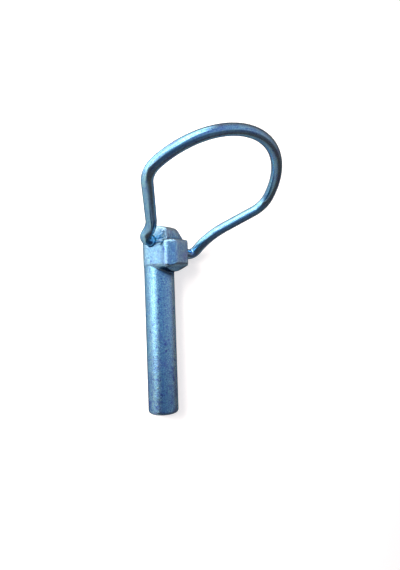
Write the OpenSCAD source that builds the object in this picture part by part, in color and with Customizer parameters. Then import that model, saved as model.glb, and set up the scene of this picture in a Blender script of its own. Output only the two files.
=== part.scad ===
// Spring pin with a swinging wire bow: a forged pin whose head carries a one-sided lug, and a
// spring-wire bow hooked into one skewed hole through that head. The pin lies on its shank, and
// the long foot of the bow keeps it from rolling over. Z = -pin_d / 2 is the surface it lies on.

/* [Pin] */
// Diameter of the shank
pin_d = 9.5; // [8:0.1:11]
// Length of the shank, from the underside of the head to the tip
shank_len = 46; // [30:0.5:70]
// Width of the chamfer round the tip
tip_chamfer = 0.5; // [0.2:0.1:1]
// Radius of the fillet where the shank runs into the underside of the lug
neck_fillet = 1.5; // [0.8:0.1:2]
// Offset of the neck's own axis towards the lug, which fades the fillet out round the sides
neck_offset = 1.5; // [0.5:0.1:2]

/* [Head] */
// Height of the head, from its underside to the top of its crown
head_height = 12.5; // [11.8:0.1:14]
// How far each cheek stands proud of the shank
cheek_proud = 0.15; // [0.1:0.05:0.4]
// Radius of the round back of the head, flatter than the shank
head_back_r = 5.2; // [5.1:0.1:5.8]
// Radius of the crown over the head
crown_r = 14; // [12:0.5:30]
// Where the crown is highest, measured from the shank's axis towards the lug
crown_peak = 1; // [-1:0.1:2]
// Reach of the lug, measured from the shank's axis
lug_reach = 9.5; // [8.5:0.1:12]
// Height of the lug, from the underside to its ledge
lug_height = 7.7; // [7:0.1:8.5]
// Width of the bevels on the lug's two upright corners
lug_bevel = 2.1; // [1:0.1:3]
// Setback of the upper head behind the end of the lug
upper_setback = 2.7; // [2.2:0.1:3.5]
// Depth by which each cheek steps in above the ledge
cheek_step = 0.6; // [0.2:0.05:0.8]
// Bevel on the far corner of the ledge
ledge_bevel = 1.1; // [0.4:0.1:1.4]
// Width of the bevel along the crown's far edge
crown_bevel = 2.9; // [1:0.1:3.2]
// Rise of the underside, from the shank out to the lug
underside_rise = 11; // [4:0.5:16]
// Bevel under the end of the lug
toe_bevel = 0.6; // [0.2:0.1:1]
// Height of the bevel under each cheek
cheek_toe = 0.25; // [0.1:0.05:0.5]

/* [Hinge] */
// Height of the hinge line above the underside, at the middle of the head
hinge_height = 6.9; // [6:0.1:7.2]
// Offset of the hinge line from the shank's axis, towards the lug
hinge_offset = 0.9; // [0:0.1:2]
// Drop of the hinge hole from the near cheek to the far one
hinge_drop = 1.75; // [0.5:0.05:2]
// Radial clearance of the wire in the hinge hole
hinge_clearance = 0.1; // [0.05:0.01:0.1]
// Countersink at each mouth of the hinge hole
mouth_bevel = 0.4; // [0.2:0.1:0.6]

/* [Bow] */
// Diameter of the spring wire
wire_d = 3.4; // [3:0.1:4]
// Radius of the round hoop, to the middle of the wire
hoop_r = 26; // [24:0.5:32]
// Height of the hoop's centre above the hinge line
hoop_height = 18.7; // [17:0.1:24]
// Radius of the two shoulder bends, where the legs run into the hoop
shoulder_r = 6.7; // [4:0.1:9]
// Half the spacing of the two legs at the hinge line
leg_half = 12.4; // [12:0.1:14]
// Length of the upright foot of each leg, above the hinge line
foot_height = 7.4; // [7:0.1:9]
// Angle by which the legs splay outwards above their feet
leg_splay = 38.6; // [30:0.2:44]
// Radius of the bend above the near foot, beside the pin's near cheek
near_knee_r = 8.4; // [4:0.1:9]
// Radius of the bend above the far foot
far_knee_r = 18; // [6:0.5:20]
// Radius of the bend from each foot into its hinge stub
ankle_r = 2.3; // [2.1:0.1:3]
// How far the near ankle is tucked in towards the head
ankle_tuck = 0.5; // [0:0.1:0.6]
// Sideways shift of the bow along the hinge line
bow_shift = 4.3; // [3:0.1:5.2]
// Gap between the ends of the two stubs inside the hole
stub_gap = 0.8; // [0.4:0.1:1.5]
// Growth of the wire's radius where it is upset in its tight bends
bend_upset = 0.03; // [0.02:0.01:0.05]

/* [Pose] */
// Swing of the bow from straight above the head, towards the lug
bow_swing = 51.6; // [30:0.2:70]

/* [Hidden] */
$fn = 96;
pin_r = pin_d / 2;
wire_r = wire_d / 2;
bend_wire_r = wire_r + bend_upset;
run_in = 0.2;
neck_sink = 0.02;
head_half = pin_r + cheek_proud;
back_x = head_back_r - pin_r - 0.03;
upper_reach = lug_reach - upper_setback;
past = 1;

// The hinge line runs through both mouths of the hole, so it is skewed to the cheeks
hinge_skew = atan(hinge_drop / head_half / 2);
hinge_half = head_half / cos(hinge_skew);
bore_r = wire_r + hinge_clearance;

// The underside is a shallow cone about the neck's axis, level with zero under the end of the lug.
// The fillet cuts into it and into the shank by neck_sink, so that they meet at an angle
function underside_z(r) = -(lug_reach - neck_offset - r) * tan(underside_rise);
neck_r = pin_r - neck_offset - neck_sink;
fillet_x = neck_r + neck_fillet;
fillet_up = neck_fillet - neck_sink;
fillet_z = underside_z(fillet_x) - fillet_up / cos(underside_rise);
fillet_out = [fillet_x - fillet_up * sin(underside_rise), fillet_z + fillet_up * cos(underside_rise)];

// The plain wall of the shank ends just above the start of the fillet
taper_z = fillet_z + neck_fillet / 3;
grip_middle = (taper_z + tip_chamfer - shank_len) / 2;

// Points of the bow lie in its own plane: X along the hinge line, Y up the bow
function in_bow(p) = [bow_shift + p.x * cos(hinge_skew) - p.y * sin(hinge_skew),
                      p.x * sin(hinge_skew) + p.y * cos(hinge_skew)];
function mirrored(p, side) = [side * p.x, p.y];
knee = [leg_half, foot_height];
leg_dir = [sin(leg_splay), cos(leg_splay)];
leg_inward = [-cos(leg_splay), sin(leg_splay)];

// The shoulder arc touches the straight leg and, from inside, the hoop
hoop_c = [0, hoop_height];
knee_to_hoop = knee + shoulder_r * leg_inward - hoop_c;
along = knee_to_hoop * leg_dir;
leg_len = sqrt(along ^ 2 - knee_to_hoop * knee_to_hoop + (hoop_r - shoulder_r) ^ 2) - along;
shoulder_c = hoop_c + knee_to_hoop + leg_len * leg_dir;
heel = knee + leg_len * leg_dir;
hoop_from = atan2(shoulder_c.y - hoop_c.y, shoulder_c.x);

// One side of the bow, from its stub to its shoulder: 1 is the far side, -1 the near side
function ankle(side) = [bow_shift + side * leg_half / cos(hinge_skew) + (side < 0 ? ankle_tuck : 0), 0];
function side_corners(side) = [[side * stub_gap / 2, 0], ankle(side), in_bow(mirrored(knee, side)),
                               in_bow(mirrored(heel, side))];
function side_radii(side) = [0, ankle_r, side > 0 ? far_knee_r : near_knee_r, 0];

// A bend of radius r at corner b, between the corners a and c
function unit(v) = v / norm(v);
function turn(a, b, c) = acos(unit(b - a) * unit(c - b));
function setback(a, b, c, r) = r * tan(turn(a, b, c) / 2);
function left_of(v) = [-v.y, v.x];
function bend_sign(a, b, c) = sign(left_of(b - a) * (c - b));
function bend_start(a, b, c, r) = b - unit(b - a) * setback(a, b, c, r);
function bend_end(a, b, c, r) = b + unit(c - b) * setback(a, b, c, r);
function bend_centre(a, b, c, r) =
    bend_start(a, b, c, r) + left_of(unit(b - a)) * r * bend_sign(a, b, c);
function heading(v) = atan2(v.y, v.x);

// The pin settles on its shank and on the lowest point of the ankle that sticks out furthest
ankle_c = bend_centre(side_corners(1)[0], side_corners(1)[1], side_corners(1)[2], ankle_r);
function swing_to_pin(p) = let (up = p.y * cos(bow_swing)) [
    hinge_offset + p.y * sin(bow_swing),
    p.x * cos(hinge_skew) + up * sin(hinge_skew),
    hinge_height - p.x * sin(hinge_skew) + up * cos(hinge_skew)];
function height_at(q, roll) = q.x * sin(roll) - q.y * cos(roll);
function ankle_point(a) = swing_to_pin(ankle_c + ankle_r * [cos(a), sin(a)]);
function ankle_low(roll) = min([for (a = [-90:2:10]) height_at(ankle_point(a), roll)]) - bend_wire_r;
function settle(low, high, steps) = let (mid = (low + high) / 2) steps == 0 ? mid
    : ankle_low(mid) < -pin_r ? settle(mid, high, steps - 1)
    : settle(low, mid, steps - 1);
lie_roll = settle(30, 90, 20);

// From the pin's own frame, axis up and lug towards X, to the pin lying with its head towards Y,
// with the middle of the plain shank at the origin
module lying() {
    rotate([0, -lie_roll, 0]) rotate([-90, 0, 0]) translate([0, 0, -grip_middle]) children();
}

// From the bow's own plane to its place on the hinge line
module hinged() {
    translate([hinge_offset, 0, hinge_height])
        rotate([-hinge_skew, 0, 0]) rotate([90, 0, 90]) rotate([bow_swing, 0, 0]) children();
}

// Shank with its chamfered tip; beside the neck fillet it begins to taper up into the head
module shank() {
    rotate_extrude()
        polygon([[0, -shank_len], [pin_r - tip_chamfer, -shank_len],
                 [pin_r, tip_chamfer - shank_len], [pin_r, taper_z],
                 [pin_r - cheek_proud, lug_height / 2], [0, lug_height / 2]]);
}

// Seen along the pin: round at the back, and a lug with bevelled corners
module head_plan() {
    translate([0, 0, fillet_z]) {
        translate([back_x, 0, 0]) cylinder(r = head_back_r, h = head_height - fillet_z + past);
        linear_extrude(height = head_height - fillet_z + past)
            polygon([[0, -head_half], [lug_reach - lug_bevel, -head_half],
                     [lug_reach, lug_bevel - head_half], [lug_reach, head_half - lug_bevel],
                     [lug_reach - lug_bevel, head_half], [0, head_half]]);
    }
}

// Seen from the side: the toe bevel, the ledge on the lug and the setback upper head
module head_side() {
    rotate([90, 0, 0]) linear_extrude(height = 2 * (head_half + past), center = true)
        polygon([[-pin_r - past, fillet_z - past],
                 [lug_reach - toe_bevel + fillet_z - past, fillet_z - past],
                 [lug_reach, toe_bevel], [lug_reach, lug_height], [upper_reach, lug_height],
                 [upper_reach, head_height], [-pin_r - past, head_height]]);
}

// Seen from the end: stepped cheeks, and the bevel along the crown's far edge
module head_front() {
    upper = head_half - cheek_step;
    bevel_top = head_height - (head_height - lug_height) / 5;
    toe_y = head_half - cheek_toe + fillet_z - past;
    rotate([90, 0, 90]) linear_extrude(height = 2 * (lug_reach + past), center = true)
        polygon([[-toe_y, fillet_z - past], [toe_y, fillet_z - past], [head_half, cheek_toe],
                 [head_half, lug_height], [upper, lug_height], [upper, bevel_top - crown_bevel],
                 [upper - crown_bevel, bevel_top], [upper - crown_bevel, head_height],
                 [-upper, head_height], [-upper, lug_height], [-head_half, lug_height],
                 [-head_half, cheek_toe]]);
}

// What is filed off the far corner of the ledge
module ledge_corner() {
    translate([upper_reach, head_half, lug_height]) rotate([45, 0, 0])
        translate([0, -ledge_bevel / sqrt(2), -ledge_bevel])
            cube([lug_reach, 2 * ledge_bevel, 2 * ledge_bevel]);
}

// The crown: a round roof across the head
module crown() {
    translate([crown_peak, 0, head_height - crown_r]) rotate([90, 0, 0])
        cylinder(r = crown_r, h = 2 * (head_half + past), center = true);
}

// What is turned away under the head: a shallow cone that ends in the neck fillet
module under_relief() {
    reach = 2 * lug_reach;
    translate([neck_offset, 0, 0]) rotate_extrude() {
        polygon([[fillet_x, fillet_z], [fillet_x, fillet_z - past], [reach, fillet_z - past],
                 [reach, underside_z(reach)], fillet_out]);
        translate([fillet_x, fillet_z]) circle(r = neck_fillet);
    }
}

module hinge_hole() {
    translate([hinge_offset, 0, hinge_height]) rotate([-hinge_skew, 0, 0]) rotate([90, 0, 0]) {
        cylinder(r = bore_r, h = 2 * hinge_half + 4 * past, center = true);
        for (end = [0, 1]) mirror([0, 0, end]) translate([0, 0, hinge_half - mouth_bevel])
            cylinder(r1 = bore_r, r2 = bore_r + mouth_bevel + past, h = mouth_bevel + past);
    }
}

module pin() {
    color("lightsteelblue") lying() difference() {
        union() {
            shank();
            difference() {
                intersection() {
                    head_plan();
                    head_side();
                    head_front();
                    crown();
                }
                under_relief();
                ledge_corner();
            }
        }
        hinge_hole();
    }
}

// A straight run of wire from p to q, carried a little way into the bends at its ends
module wire_run(p, q, at_start, at_end) {
    way = unit(q - p);
    from = p - at_start * way;
    translate([from.x, from.y, 0]) rotate([0, 0, heading(way)]) rotate([0, 90, 0])
        cylinder(r = wire_r, h = norm(q - p) + at_start + at_end);
}

// Wire of radius r_wire bent about centre c, through the angles from and from + sweep
module wire_arc(c, r, from, sweep, r_wire) {
    translate([c.x, c.y, 0]) rotate([0, 0, from])
        rotate_extrude(angle = sweep) translate([r, 0]) circle(r = r_wire);
}

// Wire bent at each inner corner of a path to the radius given for it
module bent_wire(corners, radii) {
    last = len(corners) - 1;
    bends = [1:last - 1];
    starts = [for (i = bends) bend_start(corners[i - 1], corners[i], corners[i + 1], radii[i])];
    ends = [for (i = bends) bend_end(corners[i - 1], corners[i], corners[i + 1], radii[i])];
    for (i = [0:last - 1])
        wire_run(i == 0 ? corners[0] : ends[i - 1], i == last - 1 ? corners[last] : starts[i],
                 i == 0 ? 0 : run_in, run_in);
    for (i = bends) {
        centre = bend_centre(corners[i - 1], corners[i], corners[i + 1], radii[i]);
        way = bend_sign(corners[i - 1], corners[i], corners[i + 1]);
        sweep = turn(corners[i - 1], corners[i], corners[i + 1]);
        from = heading((way > 0 ? starts[i - 1] : ends[i - 1]) - centre);
        wire_arc(centre, radii[i], from, sweep, bend_wire_r);
    }
}

module wire_bow() {
    hoop_in = run_in / hoop_r * 180 / PI;
    color("lightsteelblue") lying() hinged() {
        for (side = [-1, 1]) bent_wire(side_corners(side), side_radii(side));
        translate([bow_shift, 0, 0]) rotate([0, 0, hinge_skew]) {
            wire_arc(shoulder_c, shoulder_r, -leg_splay, leg_splay + hoop_from, bend_wire_r);
            wire_arc(mirrored(shoulder_c, -1), shoulder_r, 180 - hoop_from, leg_splay + hoop_from,
                     bend_wire_r);
            wire_arc(hoop_c, hoop_r, hoop_from - hoop_in, 180 - 2 * (hoop_from - hoop_in), wire_r);
        }
    }
}

pin();
wire_bow();
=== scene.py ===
import math

import bpy
import numpy as np
from mathutils import Matrix, Vector


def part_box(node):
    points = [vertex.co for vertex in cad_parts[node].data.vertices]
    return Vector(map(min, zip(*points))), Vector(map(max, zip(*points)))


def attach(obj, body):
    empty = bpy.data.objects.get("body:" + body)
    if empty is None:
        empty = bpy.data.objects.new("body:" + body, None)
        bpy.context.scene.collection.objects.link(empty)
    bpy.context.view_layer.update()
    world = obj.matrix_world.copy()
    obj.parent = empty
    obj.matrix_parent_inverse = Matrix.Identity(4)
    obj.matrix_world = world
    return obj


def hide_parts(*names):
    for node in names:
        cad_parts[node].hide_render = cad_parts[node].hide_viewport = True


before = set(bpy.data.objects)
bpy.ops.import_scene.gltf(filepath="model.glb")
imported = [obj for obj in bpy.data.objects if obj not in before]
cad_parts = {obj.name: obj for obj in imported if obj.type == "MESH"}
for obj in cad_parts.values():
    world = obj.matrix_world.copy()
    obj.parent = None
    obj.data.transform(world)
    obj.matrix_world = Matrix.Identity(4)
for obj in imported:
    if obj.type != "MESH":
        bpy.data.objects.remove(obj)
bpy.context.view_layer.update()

# ---------------------------------------------------------------------------------------------
# How the pin lies. It rests on its shank and on the long foot of its bow, rolled by SHANK_ROLL
# about the shank. Pin coordinates are in mm: lug_way towards the lug, far_way towards the far
# cheek, and head_way up the shank from the head's underside.
# ---------------------------------------------------------------------------------------------
MM = 0.001
SHANK_ROLL = math.radians(74.267)
HEAD_HEIGHT = 12.5
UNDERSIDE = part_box("pin")[1].y / MM - HEAD_HEIGHT
lug_way = Vector((math.cos(SHANK_ROLL), 0, math.sin(SHANK_ROLL)))
far_way = Vector((math.sin(SHANK_ROLL), 0, -math.cos(SHANK_ROLL)))
head_way = Vector((0, 1, 0))


def lying(points):
    """Places in the scene, in metres, of points in pin coordinates."""
    turned = np.asarray(points) @ np.array([lug_way, far_way, head_way])
    return (turned + (0, UNDERSIDE, 0)) * MM


# ---------------------------------------------------------------------------------------------
# Camera: looks down at the lying pin from beside its shank, 51 degrees above the floor.
# ---------------------------------------------------------------------------------------------
VIEW_ROUND_SHANK = math.radians(35)
CAMERA_ROLL = math.radians(1.86)
FOCAL_PER_HALF_HEIGHT = 451.8 / 285
AIM_HEIGHT = 0.3
CAMERA_BACK, CAMERA_RIGHT, CAMERA_DOWN = 142.7, 12.97, 6.155
tilt = SHANK_ROLL - VIEW_ROUND_SHANK
across = Vector((math.cos(tilt), 0, math.sin(tilt)))
to_camera = Vector((-math.sin(tilt), 0, math.cos(tilt)))
camera_right = math.cos(CAMERA_ROLL) * across - math.sin(CAMERA_ROLL) * head_way
camera_up = math.sin(CAMERA_ROLL) * across + math.cos(CAMERA_ROLL) * head_way
camera_place = Vector(lying((0, 0, AIM_HEIGHT))) + MM * (
    CAMERA_RIGHT * camera_right - CAMERA_DOWN * camera_up + CAMERA_BACK * to_camera)
camera_data = bpy.data.cameras.new("camera")
camera_data.sensor_fit = "VERTICAL"
camera_data.angle_y = 2 * math.atan(1 / FOCAL_PER_HALF_HEIGHT)
camera_data.clip_start = 0.01
camera = bpy.data.objects.new("camera", camera_data)
camera.matrix_world = Matrix.Translation(camera_place) @ Matrix(
    (camera_right, camera_up, to_camera)).transposed().to_4x4()
bpy.context.scene.collection.objects.link(camera)
bpy.context.scene.camera = camera


# ---------------------------------------------------------------------------------------------
# Floor: a plain white satin sweep. It is white to the camera, where it keeps the pin's soft
# shadow, and the metal sees its paint under a satin sheen.
# ---------------------------------------------------------------------------------------------
def linear(hex_colour):
    """The linear colour of an sRGB hex value, for a shader's colour socket."""
    channels = [int(hex_colour[i:i + 2], 16) / 255 for i in (1, 3, 5)]
    return [c / 12.92 if c <= 0.04045 else ((c + 0.055) / 1.055) ** 2.4 for c in channels] + [1.0]


def node(tree, kind, links=(), inputs=(), **settings):
    """Adds a node to a tree, sets its properties and its inputs, and links what feeds it."""
    made = tree.nodes.new(kind)
    for name, value in settings.items():
        setattr(made, name, value)
    for socket, value in dict(inputs).items():
        made.inputs[socket].default_value = value
    for socket, source in dict(links).items():
        tree.links.new(source, made.inputs[socket])
    return made


FLOOR_HALF = 1.5
FLOOR_LIFT = 0.62
SHEEN_SHARE, SHEEN_ROUGHNESS = 0.6, 0.25
floor_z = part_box("pin")[0].z
floor_mesh = bpy.data.meshes.new("floor")
floor_mesh.from_pydata([(x * FLOOR_HALF, y * FLOOR_HALF, floor_z)
                        for x, y in ((-1, -1), (1, -1), (1, 1), (-1, 1))], [], [(0, 1, 2, 3)])
floor = bpy.data.objects.new("floor", floor_mesh)
bpy.context.scene.collection.objects.link(floor)
sweep = bpy.data.materials.new("white_sweep")
sweep.use_nodes = True
tree = sweep.node_tree
tree.nodes.clear()
ray = node(tree, "ShaderNodeLightPath")
lift = node(tree, "ShaderNodeMath", {0: ray.outputs["Is Camera Ray"]}, {1: FLOOR_LIFT},
            operation="MULTIPLY")
paint = node(tree, "ShaderNodeBsdfDiffuse", inputs={"Color": linear("#C8BFB8")})
glow = node(tree, "ShaderNodeEmission", {"Strength": lift.outputs[0]})
seen = node(tree, "ShaderNodeAddShader", {0: paint.outputs[0], 1: glow.outputs[0]})
shade = node(tree, "ShaderNodeBsdfDiffuse", inputs={"Color": linear("#C0B9B2")})
sheen = node(tree, "ShaderNodeBsdfGlossy", inputs={"Roughness": SHEEN_ROUGHNESS})
satin = node(tree, "ShaderNodeMixShader", {1: shade.outputs[0], 2: sheen.outputs[0]},
             {0: SHEEN_SHARE})
either = node(tree, "ShaderNodeMixShader",
              {0: ray.outputs["Is Camera Ray"], 1: satin.outputs[0], 2: seen.outputs[0]})
node(tree, "ShaderNodeOutputMaterial", {"Surface": either.outputs[0]})
floor_mesh.materials.append(sweep)

# ---------------------------------------------------------------------------------------------
# Light: a room with a bright wall on the key side, dim warm walls on the others and a blue-grey
# ceiling, all white to the camera. A softbox stands at the upper left, with a low lamp under it.
# A Mix node takes its two colours at sockets 6 and 7 and gives the mixed one at socket 2.
# ---------------------------------------------------------------------------------------------
KEY_WALL_WAY = (-0.75, 0.66, 0)
KEY_WALL, DIM_WALL = (2.2, 2.2, 2.15, 1), (0.42, 0.24, 0.19, 1)
LEFT_CEILING, RIGHT_CEILING = (0.18, 0.29, 0.46, 1), (0.44, 0.44, 0.54, 1)
NEAR_END_DIMMED = 0.28
world = bpy.data.worlds.new("studio")
bpy.context.scene.world = world
world.use_nodes = True
tree = world.node_tree
tree.nodes.clear()
way = node(tree, "ShaderNodeTexCoord")
parts = node(tree, "ShaderNodeSeparateXYZ", {0: way.outputs["Generated"]})
key_side = node(tree, "ShaderNodeVectorMath", {0: way.outputs["Generated"]}, {1: KEY_WALL_WAY},
                operation="DOT_PRODUCT")
lit = node(tree, "ShaderNodeMapRange", {"Value": key_side.outputs["Value"]},
           {"From Min": 0.48, "From Max": 0.68}, interpolation_type="SMOOTHSTEP")
near_end = node(tree, "ShaderNodeMapRange", {"Value": parts.outputs["Y"]},
                {"From Min": -0.35, "From Max": -0.05, "To Min": NEAR_END_DIMMED, "To Max": 1.0})
right = node(tree, "ShaderNodeMapRange", {"Value": parts.outputs["X"]},
             {"From Min": -0.7, "From Max": 0.6})
low = node(tree, "ShaderNodeMapRange", {"Value": parts.outputs["Z"]},
           {"From Min": 0.80, "From Max": 0.05})
wall = node(tree, "ShaderNodeMix", {"Factor": lit.outputs[0]}, {6: DIM_WALL, 7: KEY_WALL},
            data_type="RGBA")
ceiling = node(tree, "ShaderNodeMix", {"Factor": right.outputs[0]},
               {6: LEFT_CEILING, 7: RIGHT_CEILING}, data_type="RGBA")
air = node(tree, "ShaderNodeMix",
           {"Factor": low.outputs[0], 6: ceiling.outputs[2], 7: wall.outputs[2]}, data_type="RGBA")
room = node(tree, "ShaderNodeBackground",
            {"Color": air.outputs[2], "Strength": near_end.outputs[0]})
backdrop = node(tree, "ShaderNodeBackground", inputs={"Color": (1, 1, 1, 1), "Strength": 1.0})
ray = node(tree, "ShaderNodeLightPath")
seen = node(tree, "ShaderNodeMixShader",
            {0: ray.outputs["Is Camera Ray"], 1: room.outputs[0], 2: backdrop.outputs[0]})
node(tree, "ShaderNodeOutputWorld", {"Surface": seen.outputs[0]})


LAMPS_FACE = Vector((0, 0.02, 0))


def square_lamp(name, centre, side, watts):
    """A square area lamp that faces the shank just below the head."""
    data = bpy.data.lights.new(name, "AREA")
    data.shape = "RECTANGLE"
    data.size, data.size_y, data.energy = side, side, watts
    lamp = bpy.data.objects.new(name, data)
    aim = LAMPS_FACE - Vector(centre)
    turned = aim.to_track_quat("-Z", "Y").to_matrix().to_4x4()
    lamp.matrix_world = Matrix.Translation(centre) @ turned
    lamp.visible_camera = False
    bpy.context.scene.collection.objects.link(lamp)
    return lamp


square_lamp("key_softbox", centre=(-0.225, 0.30, 0.28), side=0.36, watts=0.7)
floor_wash = square_lamp("floor_wash", centre=(-0.16, 0.08, 0.10), side=0.1, watts=1.5)
floor_wash.visible_glossy = False

# ---------------------------------------------------------------------------------------------
# Pin: one steel forging, shank and head in one, drilled through for the bow. The head is
# pressed flat at the cheeks, hammered above the ledge, and left with soft forged edges.
# ---------------------------------------------------------------------------------------------
SHANK_R, SHANK_LEN, TIP_CHAMFER = 4.75, 46.0, 0.5
CHEEK, BACK_R, BACK_X = 4.9, 5.2, 0.42
LUG_REACH, LUG_HEIGHT, LUG_BEVEL, TOE_BEVEL, CHEEK_TOE = 9.5, 7.7, 2.1, 0.6, 0.25
UPPER_REACH, UPPER_HALF, LEDGE_BEVEL = 6.8, 4.3, 1.1
CROWN_R, CROWN_PEAK, CROWN_BEVEL = 14.0, 1.0, 2.9
BEVEL_TOP = HEAD_HEIGHT - (HEAD_HEIGHT - LUG_HEIGHT) / 5
NECK_X, UNDERSIDE_RISE = 1.5, math.radians(11)
NECK_FILLET, FILLET_RUN, LEAST_FILLET = 1.5, 5.0, 0.1
HINGE_X, HINGE_HEIGHT, HINGE_SKEW = 0.9, 6.9, math.radians(10.1247)
BORE_R, MOUTH_BEVEL = 1.8, 0.4
EDGE, UNEVEN, LUMP_SIZE, LUMP_SEED = 0.35, 0.03, 2.2, 3
STEP, ROOM, BACK_ROOM = 0.17, 0.5, 0.6
SQ2 = math.sqrt(2)


def meet(a, b, soft):
    """Where two solids meet: the larger distance, with the edge between them rounded."""
    near = np.maximum(soft - np.abs(a - b), 0) / soft
    return np.maximum(a, b) + near * near * soft / 4


def join(a, b, soft):
    """Two solids joined: the smaller distance, with the corner between them filled."""
    return -meet(-a, -b, soft)


def lumps(x, y, z, size, seed):
    """Smooth random unevenness between 0 and 1, with lumps of about this size in mm."""
    count = 32
    heights = np.random.default_rng(seed).random((count, count, count))
    total = 0
    cell = []
    for v in (x, y, z):
        whole = np.floor(v / size).astype(int)
        part = v / size - whole
        cell.append((whole, part * part * (3 - 2 * part)))
    for corner in np.ndindex(2, 2, 2):
        weight, index = 1, []
        for (whole, part), c in zip(cell, corner):
            weight = weight * (part if c else 1 - part)
            index.append((whole + c) % count)
        total = total + weight * heights[tuple(index)]
    return total


def forged_pin(x, n, z, edge):
    """Distance from the pin's surface in mm, less than 0 inside. Edges are rounded by edge."""
    side = np.abs(n)
    neck = np.hypot(x - NECK_X, n)
    head = meet(side - CHEEK, x - LUG_REACH, edge)
    head = meet(head, (x - LUG_REACH + side - CHEEK + LUG_BEVEL) / SQ2, edge)
    head = meet(head, np.where(x < 0, np.hypot(x - BACK_X, n) - BACK_R, -x - SHANK_R), edge)
    head = meet(head, np.hypot(x - CROWN_PEAK, z - HEAD_HEIGHT + CROWN_R) - CROWN_R, 3 * edge)
    head = meet(head, (n - UPPER_HALF + z - BEVEL_TOP + CROWN_BEVEL) / SQ2, 2 * edge)
    head = meet(head, join(z - LUG_HEIGHT, x - UPPER_REACH, edge), 2 * edge)
    head = meet(head, join(z - LUG_HEIGHT, side - UPPER_HALF, 2 * edge), 2 * edge)
    far_ledge = (n - CHEEK + z - LUG_HEIGHT + LEDGE_BEVEL) / SQ2
    head = meet(head, join(far_ledge, x - UPPER_REACH, edge), 2 * edge)
    head = meet(head, (x - LUG_REACH + TOE_BEVEL - z) / SQ2, edge)
    head = meet(head, (side - CHEEK + CHEEK_TOE - z) / SQ2, edge)
    under = (neck - LUG_REACH + NECK_X) * math.sin(UNDERSIDE_RISE) - z * math.cos(UNDERSIDE_RISE)
    head = meet(head, under, edge)
    radius = np.hypot(x, n)
    shank = meet(radius - SHANK_R, -z - SHANK_LEN, edge)
    shank = meet(shank, (radius - SHANK_R - z - SHANK_LEN + TIP_CHAMFER) / SQ2, edge)
    shank = np.maximum(shank, z - LUG_HEIGHT / 2)
    # The fillet under the head widens towards the lug and fades out round the sides.
    fillet = LEAST_FILLET + 4 * NECK_FILLET * np.clip((x - NECK_X) / FILLET_RUN, 0, 1) ** 2
    pin = join(head, shank, fillet)
    along = n * math.cos(HINGE_SKEW) - (z - HINGE_HEIGHT) * math.sin(HINGE_SKEW)
    lift = n * math.sin(HINGE_SKEW) + (z - HINGE_HEIGHT) * math.cos(HINGE_SKEW)
    mouth = np.maximum(np.abs(along) - CHEEK / math.cos(HINGE_SKEW) + MOUTH_BEVEL, 0)
    return meet(pin, BORE_R + mouth - np.hypot(x - HINGE_X, lift), edge)


def skin(field, low, step):
    """Points and quads of the surface where a field on a grid passes zero, facing outwards."""
    inside = field < 0
    size = np.array(field.shape) - 1
    sums = np.zeros((size.prod(), 3))
    hits = np.zeros(size.prod())
    rings = []
    for axis in range(3):
        first = [slice(1, -1)] * 3
        second = list(first)
        first[axis], second[axis] = slice(0, -1), slice(1, None)
        start, end = field[tuple(first)], field[tuple(second)]
        crossing = inside[tuple(first)] != inside[tuple(second)]
        where = np.argwhere(crossing)
        where[:, [a for a in range(3) if a != axis]] += 1
        place = where.astype(float)
        place[:, axis] += start[crossing] / (start[crossing] - end[crossing])
        u, v = (axis + 1) % 3, (axis + 2) % 3
        ring = []
        for du, dv in ((0, 0), (-1, 0), (-1, -1), (0, -1)):
            cell = where.copy()
            cell[:, u] += du
            cell[:, v] += dv
            flat = np.ravel_multi_index(cell.T, size)
            np.add.at(sums, flat, place)
            np.add.at(hits, flat, 1)
            ring.append(flat)
        ring = np.stack(ring, 1)
        outward = start[crossing] < 0
        rings.append(np.where(outward[:, None], ring, ring[:, ::-1]))
    used = np.flatnonzero(hits)
    number = np.zeros(len(hits), int)
    number[used] = np.arange(len(used))
    return low + step * sums[used] / hits[used, None], number[np.concatenate(rings)]


# The grid leaves ROOM round the pin, and BACK_ROOM behind the shank.
low = np.array([-SHANK_R - BACK_ROOM, -CHEEK - ROOM, -SHANK_LEN - ROOM])
high = np.array([LUG_REACH, CHEEK, HEAD_HEIGHT]) + ROOM
axes = [np.arange(a, b, STEP) for a, b in zip(low, high)]
x, n, z = np.meshgrid(*axes, indexing="ij")
field = forged_pin(x, n, z, EDGE) + UNEVEN * lumps(x, n, z, LUMP_SIZE, LUMP_SEED)
points, quads = skin(field, low, STEP)
pin_mesh = bpy.data.meshes.new("forged_pin")
pin_mesh.from_pydata(lying(points), [], quads)
pin_mesh.shade_smooth()
place = pin_mesh.attributes.new("pin_place", "FLOAT_VECTOR", "POINT")
place.data.foreach_set("vector", points.astype(np.float32).ravel())
# Edges are worn bright, found by how much deeper a softer edge would cut. Corners and recesses get
# painted shade, found by how near the rest of the pin comes to a point held OFF mm from the face.
OFF, NUDGE = 1.0, 0.02
SHADE_GAIN, SHADE_CUT, MOST_SHADE = 1.3, 0.1, 0.85
worn = forged_pin(*points.T, 3 * EDGE) - forged_pin(*points.T, EDGE)
slope = np.stack([forged_pin(*(points + d).T, EDGE) - forged_pin(*(points - d).T, EDGE)
                  for d in NUDGE * np.eye(3)], 1)
normal = slope / np.linalg.norm(slope, axis=1)[:, None]
closed = 1 - forged_pin(*(points + OFF * normal).T, EDGE) / OFF
painted_corner_shade = np.clip(SHADE_GAIN * closed - SHADE_CUT, 0, MOST_SHADE)
for name, values in (("edge_wear", worn), ("corner_shade", painted_corner_shade)):
    made = pin_mesh.attributes.new(name, "FLOAT", "POINT")
    made.data.foreach_set("value", values.astype(np.float32))
forging = bpy.data.objects.new("forged_pin", pin_mesh)
bpy.context.scene.collection.objects.link(forging)
# Dark blue for the pits, and on the pin also for the painted shade in its corners and recesses.
PITS_AND_SHADE, RIM_TINT = linear("#33507C"), linear("#8A7E76")


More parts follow.
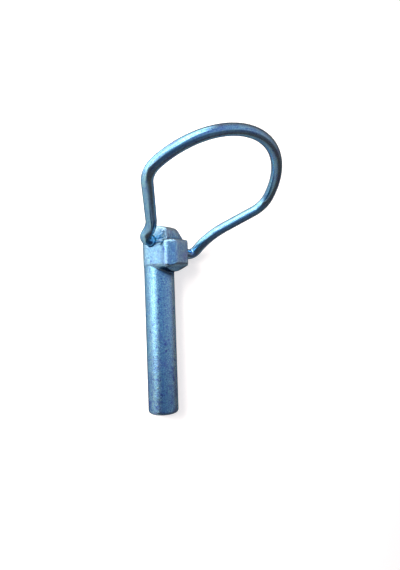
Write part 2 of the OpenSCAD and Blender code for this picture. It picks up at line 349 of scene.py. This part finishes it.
def zinc_look(tree, place, drawn, speckle):
    """Blue-white zinc plating: its colour, streaks, clouds, grain and pits.

    place is in mm, so a noise's Scale is its lumps per mm. drawn scales place for the streaks,
    least along the way in which the steel was drawn. speckle is the share that the fine grain
    has in the colour, from 0 to 1. Real grain is too fine to show, so it is drawn with lumps of
    0.4 mm, and the streaks 0.3 to 0.6 mm wide.
    """
    along = node(tree, "ShaderNodeVectorMath", {0: place}, {1: drawn}, operation="MULTIPLY")
    streaks = node(tree, "ShaderNodeTexNoise", {"Vector": along.outputs[0]},
                   {"Scale": 1.0, "Detail": 5.0, "Roughness": 0.65}).outputs["Fac"]
    clouds = node(tree, "ShaderNodeTexNoise", {"Vector": place},
                  {"Scale": 0.8, "Detail": 6.0, "Roughness": 0.75}).outputs["Fac"]
    patches = node(tree, "ShaderNodeTexNoise", {"Vector": place},
                   {"Scale": 0.2, "Detail": 3.0, "Roughness": 0.6}).outputs["Fac"]
    grain = node(tree, "ShaderNodeTexNoise", {"Vector": place},
                 {"Scale": 2.4, "Detail": 2.0, "Roughness": 0.6}).outputs["Fac"]
    both = node(tree, "ShaderNodeMath", {0: streaks, 1: clouds}, operation="ADD")
    coarse = node(tree, "ShaderNodeMath", {0: both.outputs[0]}, {1: (1 - speckle) / 2},
                  operation="MULTIPLY")
    mixed = node(tree, "ShaderNodeMath", {0: grain, 2: coarse.outputs[0]}, {1: speckle},
                 operation="MULTIPLY_ADD")
    blues = node(tree, "ShaderNodeValToRGB", {"Fac": mixed.outputs[0]})
    stops = blues.color_ramp.elements
    stops[0].position, stops[0].color = 0.40, linear("#6C92DA")
    stops[1].position, stops[1].color = 0.60, linear("#BCF3FC")
    stops.new(0.46).color = linear("#8FC3EE")
    stops.new(0.54).color = linear("#9CDAF5")
    violet = node(tree, "ShaderNodeMapRange", {"Value": patches},
                  {"From Min": 0.54, "From Max": 0.68, "To Max": 0.4})
    tinted = node(tree, "ShaderNodeMix", {"Factor": violet.outputs[0], 6: blues.outputs["Color"]},
                  {7: linear("#8794E6")}, data_type="RGBA")
    white = node(tree, "ShaderNodeMapRange", {"Value": grain},
                 {"From Min": 0.66, "From Max": 0.72, "To Max": 0.8})
    specked = node(tree, "ShaderNodeMix", {"Factor": white.outputs[0], 6: tinted.outputs[2]},
                   {7: linear("#E2F5FA")}, data_type="RGBA")
    pits = node(tree, "ShaderNodeMapRange", {"Value": grain},
                {"From Min": 0.35, "From Max": 0.28, "To Max": 0.8})
    return specked.outputs[2], streaks, clouds, grain, pits.outputs[0]


# Zinc on forged steel: satin and grainy, scored along the shank and down the cheeks, dented above
# the ledge, stained violet towards the tip, and darkened with painted shade in its corners and
# recesses. The depths of its marks are in metres, first the least and then the most.
SCORE_DEPTH, GRAIN_DEPTH, DENT_DEPTH = (0.00002, 0.00006), (0.00003, 0.00005), (0.00002, 0.0003)
zinc = bpy.data.materials.new("blue_zinc_on_forging")
zinc.use_nodes = True
tree = zinc.node_tree
tree.nodes.clear()
place = node(tree, "ShaderNodeAttribute", attribute_name="pin_place").outputs["Vector"]
colour, streaks, clouds, grain, pits = zinc_look(tree, place, drawn=(3.5, 3.5, 0.3), speckle=0.5)
up_pin = node(tree, "ShaderNodeSeparateXYZ", {0: place}).outputs["Z"]
on_head = node(tree, "ShaderNodeMapRange", {"Value": up_pin}, {"From Min": -1.5, "From Max": 0.5})
on_crown = node(tree, "ShaderNodeMapRange", {"Value": up_pin},
                {"From Min": LUG_HEIGHT - 0.4, "From Max": LUG_HEIGHT + 0.3})
stains = node(tree, "ShaderNodeTexNoise", {"Vector": place},
              {"Scale": 0.55, "Detail": 5.0, "Roughness": 0.75})
to_tip = node(tree, "ShaderNodeMapRange", {"Value": up_pin},
              {"From Min": -16, "From Max": -44, "To Min": 0.61, "To Max": 0.47})
stained = node(tree, "ShaderNodeMapRange",
               {"Value": stains.outputs["Fac"], "From Min": to_tip.outputs[0]},
               {"From Max": 0.66, "To Max": 0.8})
violet = node(tree, "ShaderNodeMix", {"Factor": stained.outputs[0], 6: colour},
              {7: linear("#4E5FC4")}, data_type="RGBA")
edges = node(tree, "ShaderNodeAttribute", attribute_name="edge_wear")
bare = node(tree, "ShaderNodeMapRange", {"Value": edges.outputs["Fac"]},
            {"From Min": 0.05, "From Max": 0.4, "To Max": 0.5})
bright = node(tree, "ShaderNodeMix", {"Factor": bare.outputs[0], 6: violet.outputs[2]},
              {7: linear("#D4F1FA")}, data_type="RGBA")
# Painted shade: corners and recesses are darkened by the corner mask, together with the dark pits.
corner_shade = node(tree, "ShaderNodeAttribute", attribute_name="corner_shade")
pits_and_painted_shade = node(tree, "ShaderNodeMath", {0: corner_shade.outputs["Fac"], 1: pits}, operation="MAXIMUM")
dull = node(tree, "ShaderNodeMix", {"Factor": pits_and_painted_shade.outputs[0], 6: bright.outputs[2]},
            {7: PITS_AND_SHADE}, data_type="RGBA")
rough = node(tree, "ShaderNodeMapRange", {"Value": clouds},
             {"From Min": 0.35, "From Max": 0.65, "To Min": 0.28, "To Max": 0.15})
score_depth = node(tree, "ShaderNodeMapRange", {"Value": on_head.outputs[0]},
                   {"To Min": SCORE_DEPTH[0], "To Max": SCORE_DEPTH[1]})
scored = node(tree, "ShaderNodeBump", {"Height": streaks, "Distance": score_depth.outputs[0]},
              {"Strength": 1.0})
grain_depth = node(tree, "ShaderNodeMapRange", {"Value": on_head.outputs[0]},
                   {"To Min": GRAIN_DEPTH[0], "To Max": GRAIN_DEPTH[1]})
grained = node(tree, "ShaderNodeBump",
               {"Height": grain, "Distance": grain_depth.outputs[0], "Normal": scored.outputs[0]},
               {"Strength": 0.8})
dents = node(tree, "ShaderNodeTexNoise", {"Vector": place},
             {"Scale": 1.1, "Detail": 2.0, "Roughness": 0.5})
dent_depth = node(tree, "ShaderNodeMapRange", {"Value": on_crown.outputs[0]},
                  {"To Min": DENT_DEPTH[0], "To Max": DENT_DEPTH[1]})
dented = node(tree, "ShaderNodeBump",
              {"Height": dents.outputs["Fac"], "Distance": dent_depth.outputs[0],
               "Normal": grained.outputs[0]}, {"Strength": 1.0})
surface = node(tree, "ShaderNodeBsdfPrincipled",
               {"Base Color": dull.outputs[2], "Roughness": rough.outputs[0],
                "Normal": dented.outputs[0]},
               {"Metallic": 1.0, "Specular Tint": RIM_TINT})
node(tree, "ShaderNodeOutputMaterial", {"Surface": surface.outputs[0]})
pin_mesh.materials.append(zinc)
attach(forging, "pin")
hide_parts("pin")

# ---------------------------------------------------------------------------------------------
# Wire bow: one length of spring wire, swept by Geometry Nodes along its bent path. Its two stubs
# face each other in the hinge hole, and its feet, knees and shoulders are plain bends.
# ---------------------------------------------------------------------------------------------
WIRE_R = 1.7
HOOP_R, HOOP_HEIGHT, SHOULDER_R = 26.0, 18.7, 6.7
LEG_HALF, FOOT_HEIGHT, LEG_SPLAY = 12.4, 7.4, math.radians(38.6)
KNEE_R, ANKLE_R, NEAR_ANKLE_TUCK = {-1: 8.4, 1: 18.0}, 2.3, 0.5
BOW_SHIFT, STUB_GAP, BOW_SWING = 4.3, 0.8, math.radians(51.6)
WIRE_SIDES, PATH_STEP, END_BEVEL, END_SHARE = 56, 0.4, 0.3, 0.85


def arc(centre, radius, start, end):
    """Points PATH_STEP apart round an arc, without its two ends."""
    count = max(int(abs(end - start) * radius / PATH_STEP), 2)
    turns = np.linspace(start, end, count + 1)[1:-1]
    return [np.array(centre) + radius * np.array((math.cos(t), math.sin(t))) for t in turns]


def bend(before, corner, after, radius):
    """The corner of a path, rounded to a radius: its arc with both ends."""
    into = (corner - before) / np.linalg.norm(corner - before)
    out = (after - corner) / np.linalg.norm(after - corner)
    cross = into[0] * out[1] - into[1] * out[0]
    turned = math.atan2(cross, into @ out)
    reach = radius * math.tan(abs(turned) / 2)
    start = corner - reach * into
    inward = np.array((-into[1], into[0])) * math.copysign(1, turned)
    centre = start + radius * inward
    first = math.atan2(*(start - centre)[::-1])
    return [start] + arc(centre, radius, first, first + turned) + [corner + reach * out]


# Knee to shoulder: a straight leg that the shoulder bend touches, as does the hoop from outside.
knee = np.array((LEG_HALF, FOOT_HEIGHT))
leg = np.array((math.sin(LEG_SPLAY), math.cos(LEG_SPLAY)))
offset = knee + SHOULDER_R * np.array((-leg[1], leg[0])) - (0, HOOP_HEIGHT)
toward = offset @ leg
leg_len = math.sqrt(toward ** 2 - offset @ offset + (HOOP_R - SHOULDER_R) ** 2) - toward
shoulder = offset + leg_len * leg + (0, HOOP_HEIGHT)
hoop_from = math.atan2(shoulder[1] - HOOP_HEIGHT, shoulder[0])
half = [knee, knee + leg_len * leg] + arc(shoulder, SHOULDER_R, -LEG_SPLAY, hoop_from)
half += arc((0, HOOP_HEIGHT), HOOP_R, hoop_from, math.pi / 2)
half += [np.array((0, HOOP_HEIGHT + HOOP_R))]
skew_cos, skew_sin = math.cos(HINGE_SKEW), math.sin(HINGE_SKEW)
skew = np.array(((skew_cos, skew_sin), (-skew_sin, skew_cos)))
sides = []
for side in (-1, 1):
    upper = [p * (side, 1) @ skew + (BOW_SHIFT, 0) for p in half]
    stub = np.array((side * STUB_GAP / 2, 0))
    ankle = np.array((BOW_SHIFT + side * LEG_HALF / skew_cos, 0))
    if side < 0:
        ankle[0] += NEAR_ANKLE_TUCK
    sides.append([stub] + bend(stub, ankle, upper[0], ANKLE_R)
                 + bend(ankle, upper[0], upper[1], KNEE_R[side]) + upper[1:])
path = np.array(sides[0][:-1] + sides[1][::-1])
# Straight runs are cut into the same steps, and each end of the wire gets a small bevel, down
# to END_SHARE of its radius.
even = [path[0]]
for a, b in zip(path[:-1], path[1:]):
    count = max(int(np.linalg.norm(b - a) / PATH_STEP), 1)
    even += [a + (b - a) * i / count for i in range(1, count + 1)]
path = np.array(even)
along = np.r_[0, np.cumsum(np.linalg.norm(np.diff(path, axis=0), axis=1))]
end = np.minimum(along, along[-1] - along)
swell = np.where(end < END_BEVEL, END_SHARE + (1 - END_SHARE) * end / END_BEVEL, 1)
raised = path[:, 1] * math.cos(BOW_SWING)
spot = np.stack([HINGE_X + path[:, 1] * math.sin(BOW_SWING),
                 path[:, 0] * skew_cos + raised * skew_sin,
                 HINGE_HEIGHT - path[:, 0] * skew_sin + raised * skew_cos], 1)
path_mesh = bpy.data.meshes.new("bow_path")
path_mesh.from_pydata(lying(spot), [(i, i + 1) for i in range(len(spot) - 1)], [])
for name, values in (("swell", swell), ("run", along)):
    made = path_mesh.attributes.new(name, "FLOAT", "POINT")
    made.data.foreach_set("value", values.astype(np.float32))
path_object = bpy.data.objects.new("bow_path", path_mesh)
bpy.context.scene.collection.objects.link(path_object)

# Zinc on drawn wire: smoother and glossier than on the forging, and streaked along the wire. Its
# pattern reads the spot on the wire's ring and the run along it, both brought to mm.
STREAK_DEPTH = 0.00004
wire_zinc = bpy.data.materials.new("blue_zinc_on_wire")
wire_zinc.use_nodes = True
tree = wire_zinc.node_tree
tree.nodes.clear()
around = node(tree, "ShaderNodeAttribute", attribute_name="around")
run = node(tree, "ShaderNodeAttribute", attribute_name="run")
down_wire = node(tree, "ShaderNodeCombineXYZ", {"Z": run.outputs["Fac"]})
place = node(tree, "ShaderNodeVectorMath", {0: around.outputs["Vector"], 2: down_wire.outputs[0]},
             {1: (1 / MM, 1 / MM, 1 / MM)}, operation="MULTIPLY_ADD").outputs[0]
colour, streaks, clouds, _, pits = zinc_look(tree, place, drawn=(1.8, 1.8, 0.12), speckle=0.25)
rough = node(tree, "ShaderNodeMapRange", {"Value": clouds},
             {"From Min": 0.35, "From Max": 0.65, "To Min": 0.20, "To Max": 0.09})
streaked = node(tree, "ShaderNodeBump", {"Height": streaks},
                {"Strength": 0.6, "Distance": STREAK_DEPTH})
dull = node(tree, "ShaderNodeMix", {"Factor": pits, 6: colour}, {7: PITS_AND_SHADE},
            data_type="RGBA")
surface = node(tree, "ShaderNodeBsdfPrincipled",
               {"Base Color": dull.outputs[2], "Roughness": rough.outputs[0],
                "Normal": streaked.outputs[0]},
               {"Metallic": 1.0, "Specular Tint": RIM_TINT})
node(tree, "ShaderNodeOutputMaterial", {"Surface": surface.outputs[0]})

sweeper = bpy.data.node_groups.new("sweep_wire", "GeometryNodeTree")
for name, kind in (("Path", "Geometry"), ("Wire Radius", "Float"), ("Sides", "Int"),
                   ("Plating", "Material")):
    sweeper.interface.new_socket(name, in_out="INPUT", socket_type="NodeSocket" + kind)
sweeper.interface.new_socket("Wire", in_out="OUTPUT", socket_type="NodeSocketGeometry")
given = node(sweeper, "NodeGroupInput")
line = node(sweeper, "GeometryNodeMeshToCurve", {"Mesh": given.outputs["Path"]})
ring = node(sweeper, "GeometryNodeCurvePrimitiveCircle",
            {"Resolution": given.outputs["Sides"], "Radius": given.outputs["Wire Radius"]})
spot_on_ring = node(sweeper, "GeometryNodeInputPosition")
marked = node(sweeper, "GeometryNodeStoreNamedAttribute",
              {"Geometry": ring.outputs[0], "Value": spot_on_ring.outputs[0]}, {"Name": "around"},
              data_type="FLOAT_VECTOR", domain="POINT")
scale = node(sweeper, "GeometryNodeInputNamedAttribute", inputs={"Name": "swell"})
swept = node(sweeper, "GeometryNodeCurveToMesh",
             {"Curve": line.outputs[0], "Profile Curve": marked.outputs[0],
              "Scale": scale.outputs[0]},
             {"Fill Caps": True})
smooth = node(sweeper, "GeometryNodeSetShadeSmooth", {"Geometry": swept.outputs[0]})
real = node(sweeper, "GeometryNodeRealizeInstances", {"Geometry": smooth.outputs[0]})
plated = node(sweeper, "GeometryNodeSetMaterial",
              {"Geometry": real.outputs[0], "Material": given.outputs["Plating"]})
node(sweeper, "NodeGroupOutput", {"Wire": plated.outputs[0]})
made = path_object.modifiers.new("sweep_wire", "NODES")
made.node_group = sweeper
values = {"Wire Radius": WIRE_R * MM, "Sides": WIRE_SIDES, "Plating": wire_zinc}
for item in sweeper.interface.items_tree:
    if item.name in values:
        made[item.identifier] = values[item.name]
seen = path_object.evaluated_get(bpy.context.evaluated_depsgraph_get())
bow_mesh = bpy.data.meshes.new_from_object(seen)
path_object.modifiers.remove(made)
bpy.data.objects.remove(path_object)
bow = bpy.data.objects.new("bent_wire_bow", bow_mesh)
bpy.context.scene.collection.objects.link(bow)
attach(bow, "bow")
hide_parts("wire_bow")

bpy.context.scene.view_settings.view_transform = "Standard"
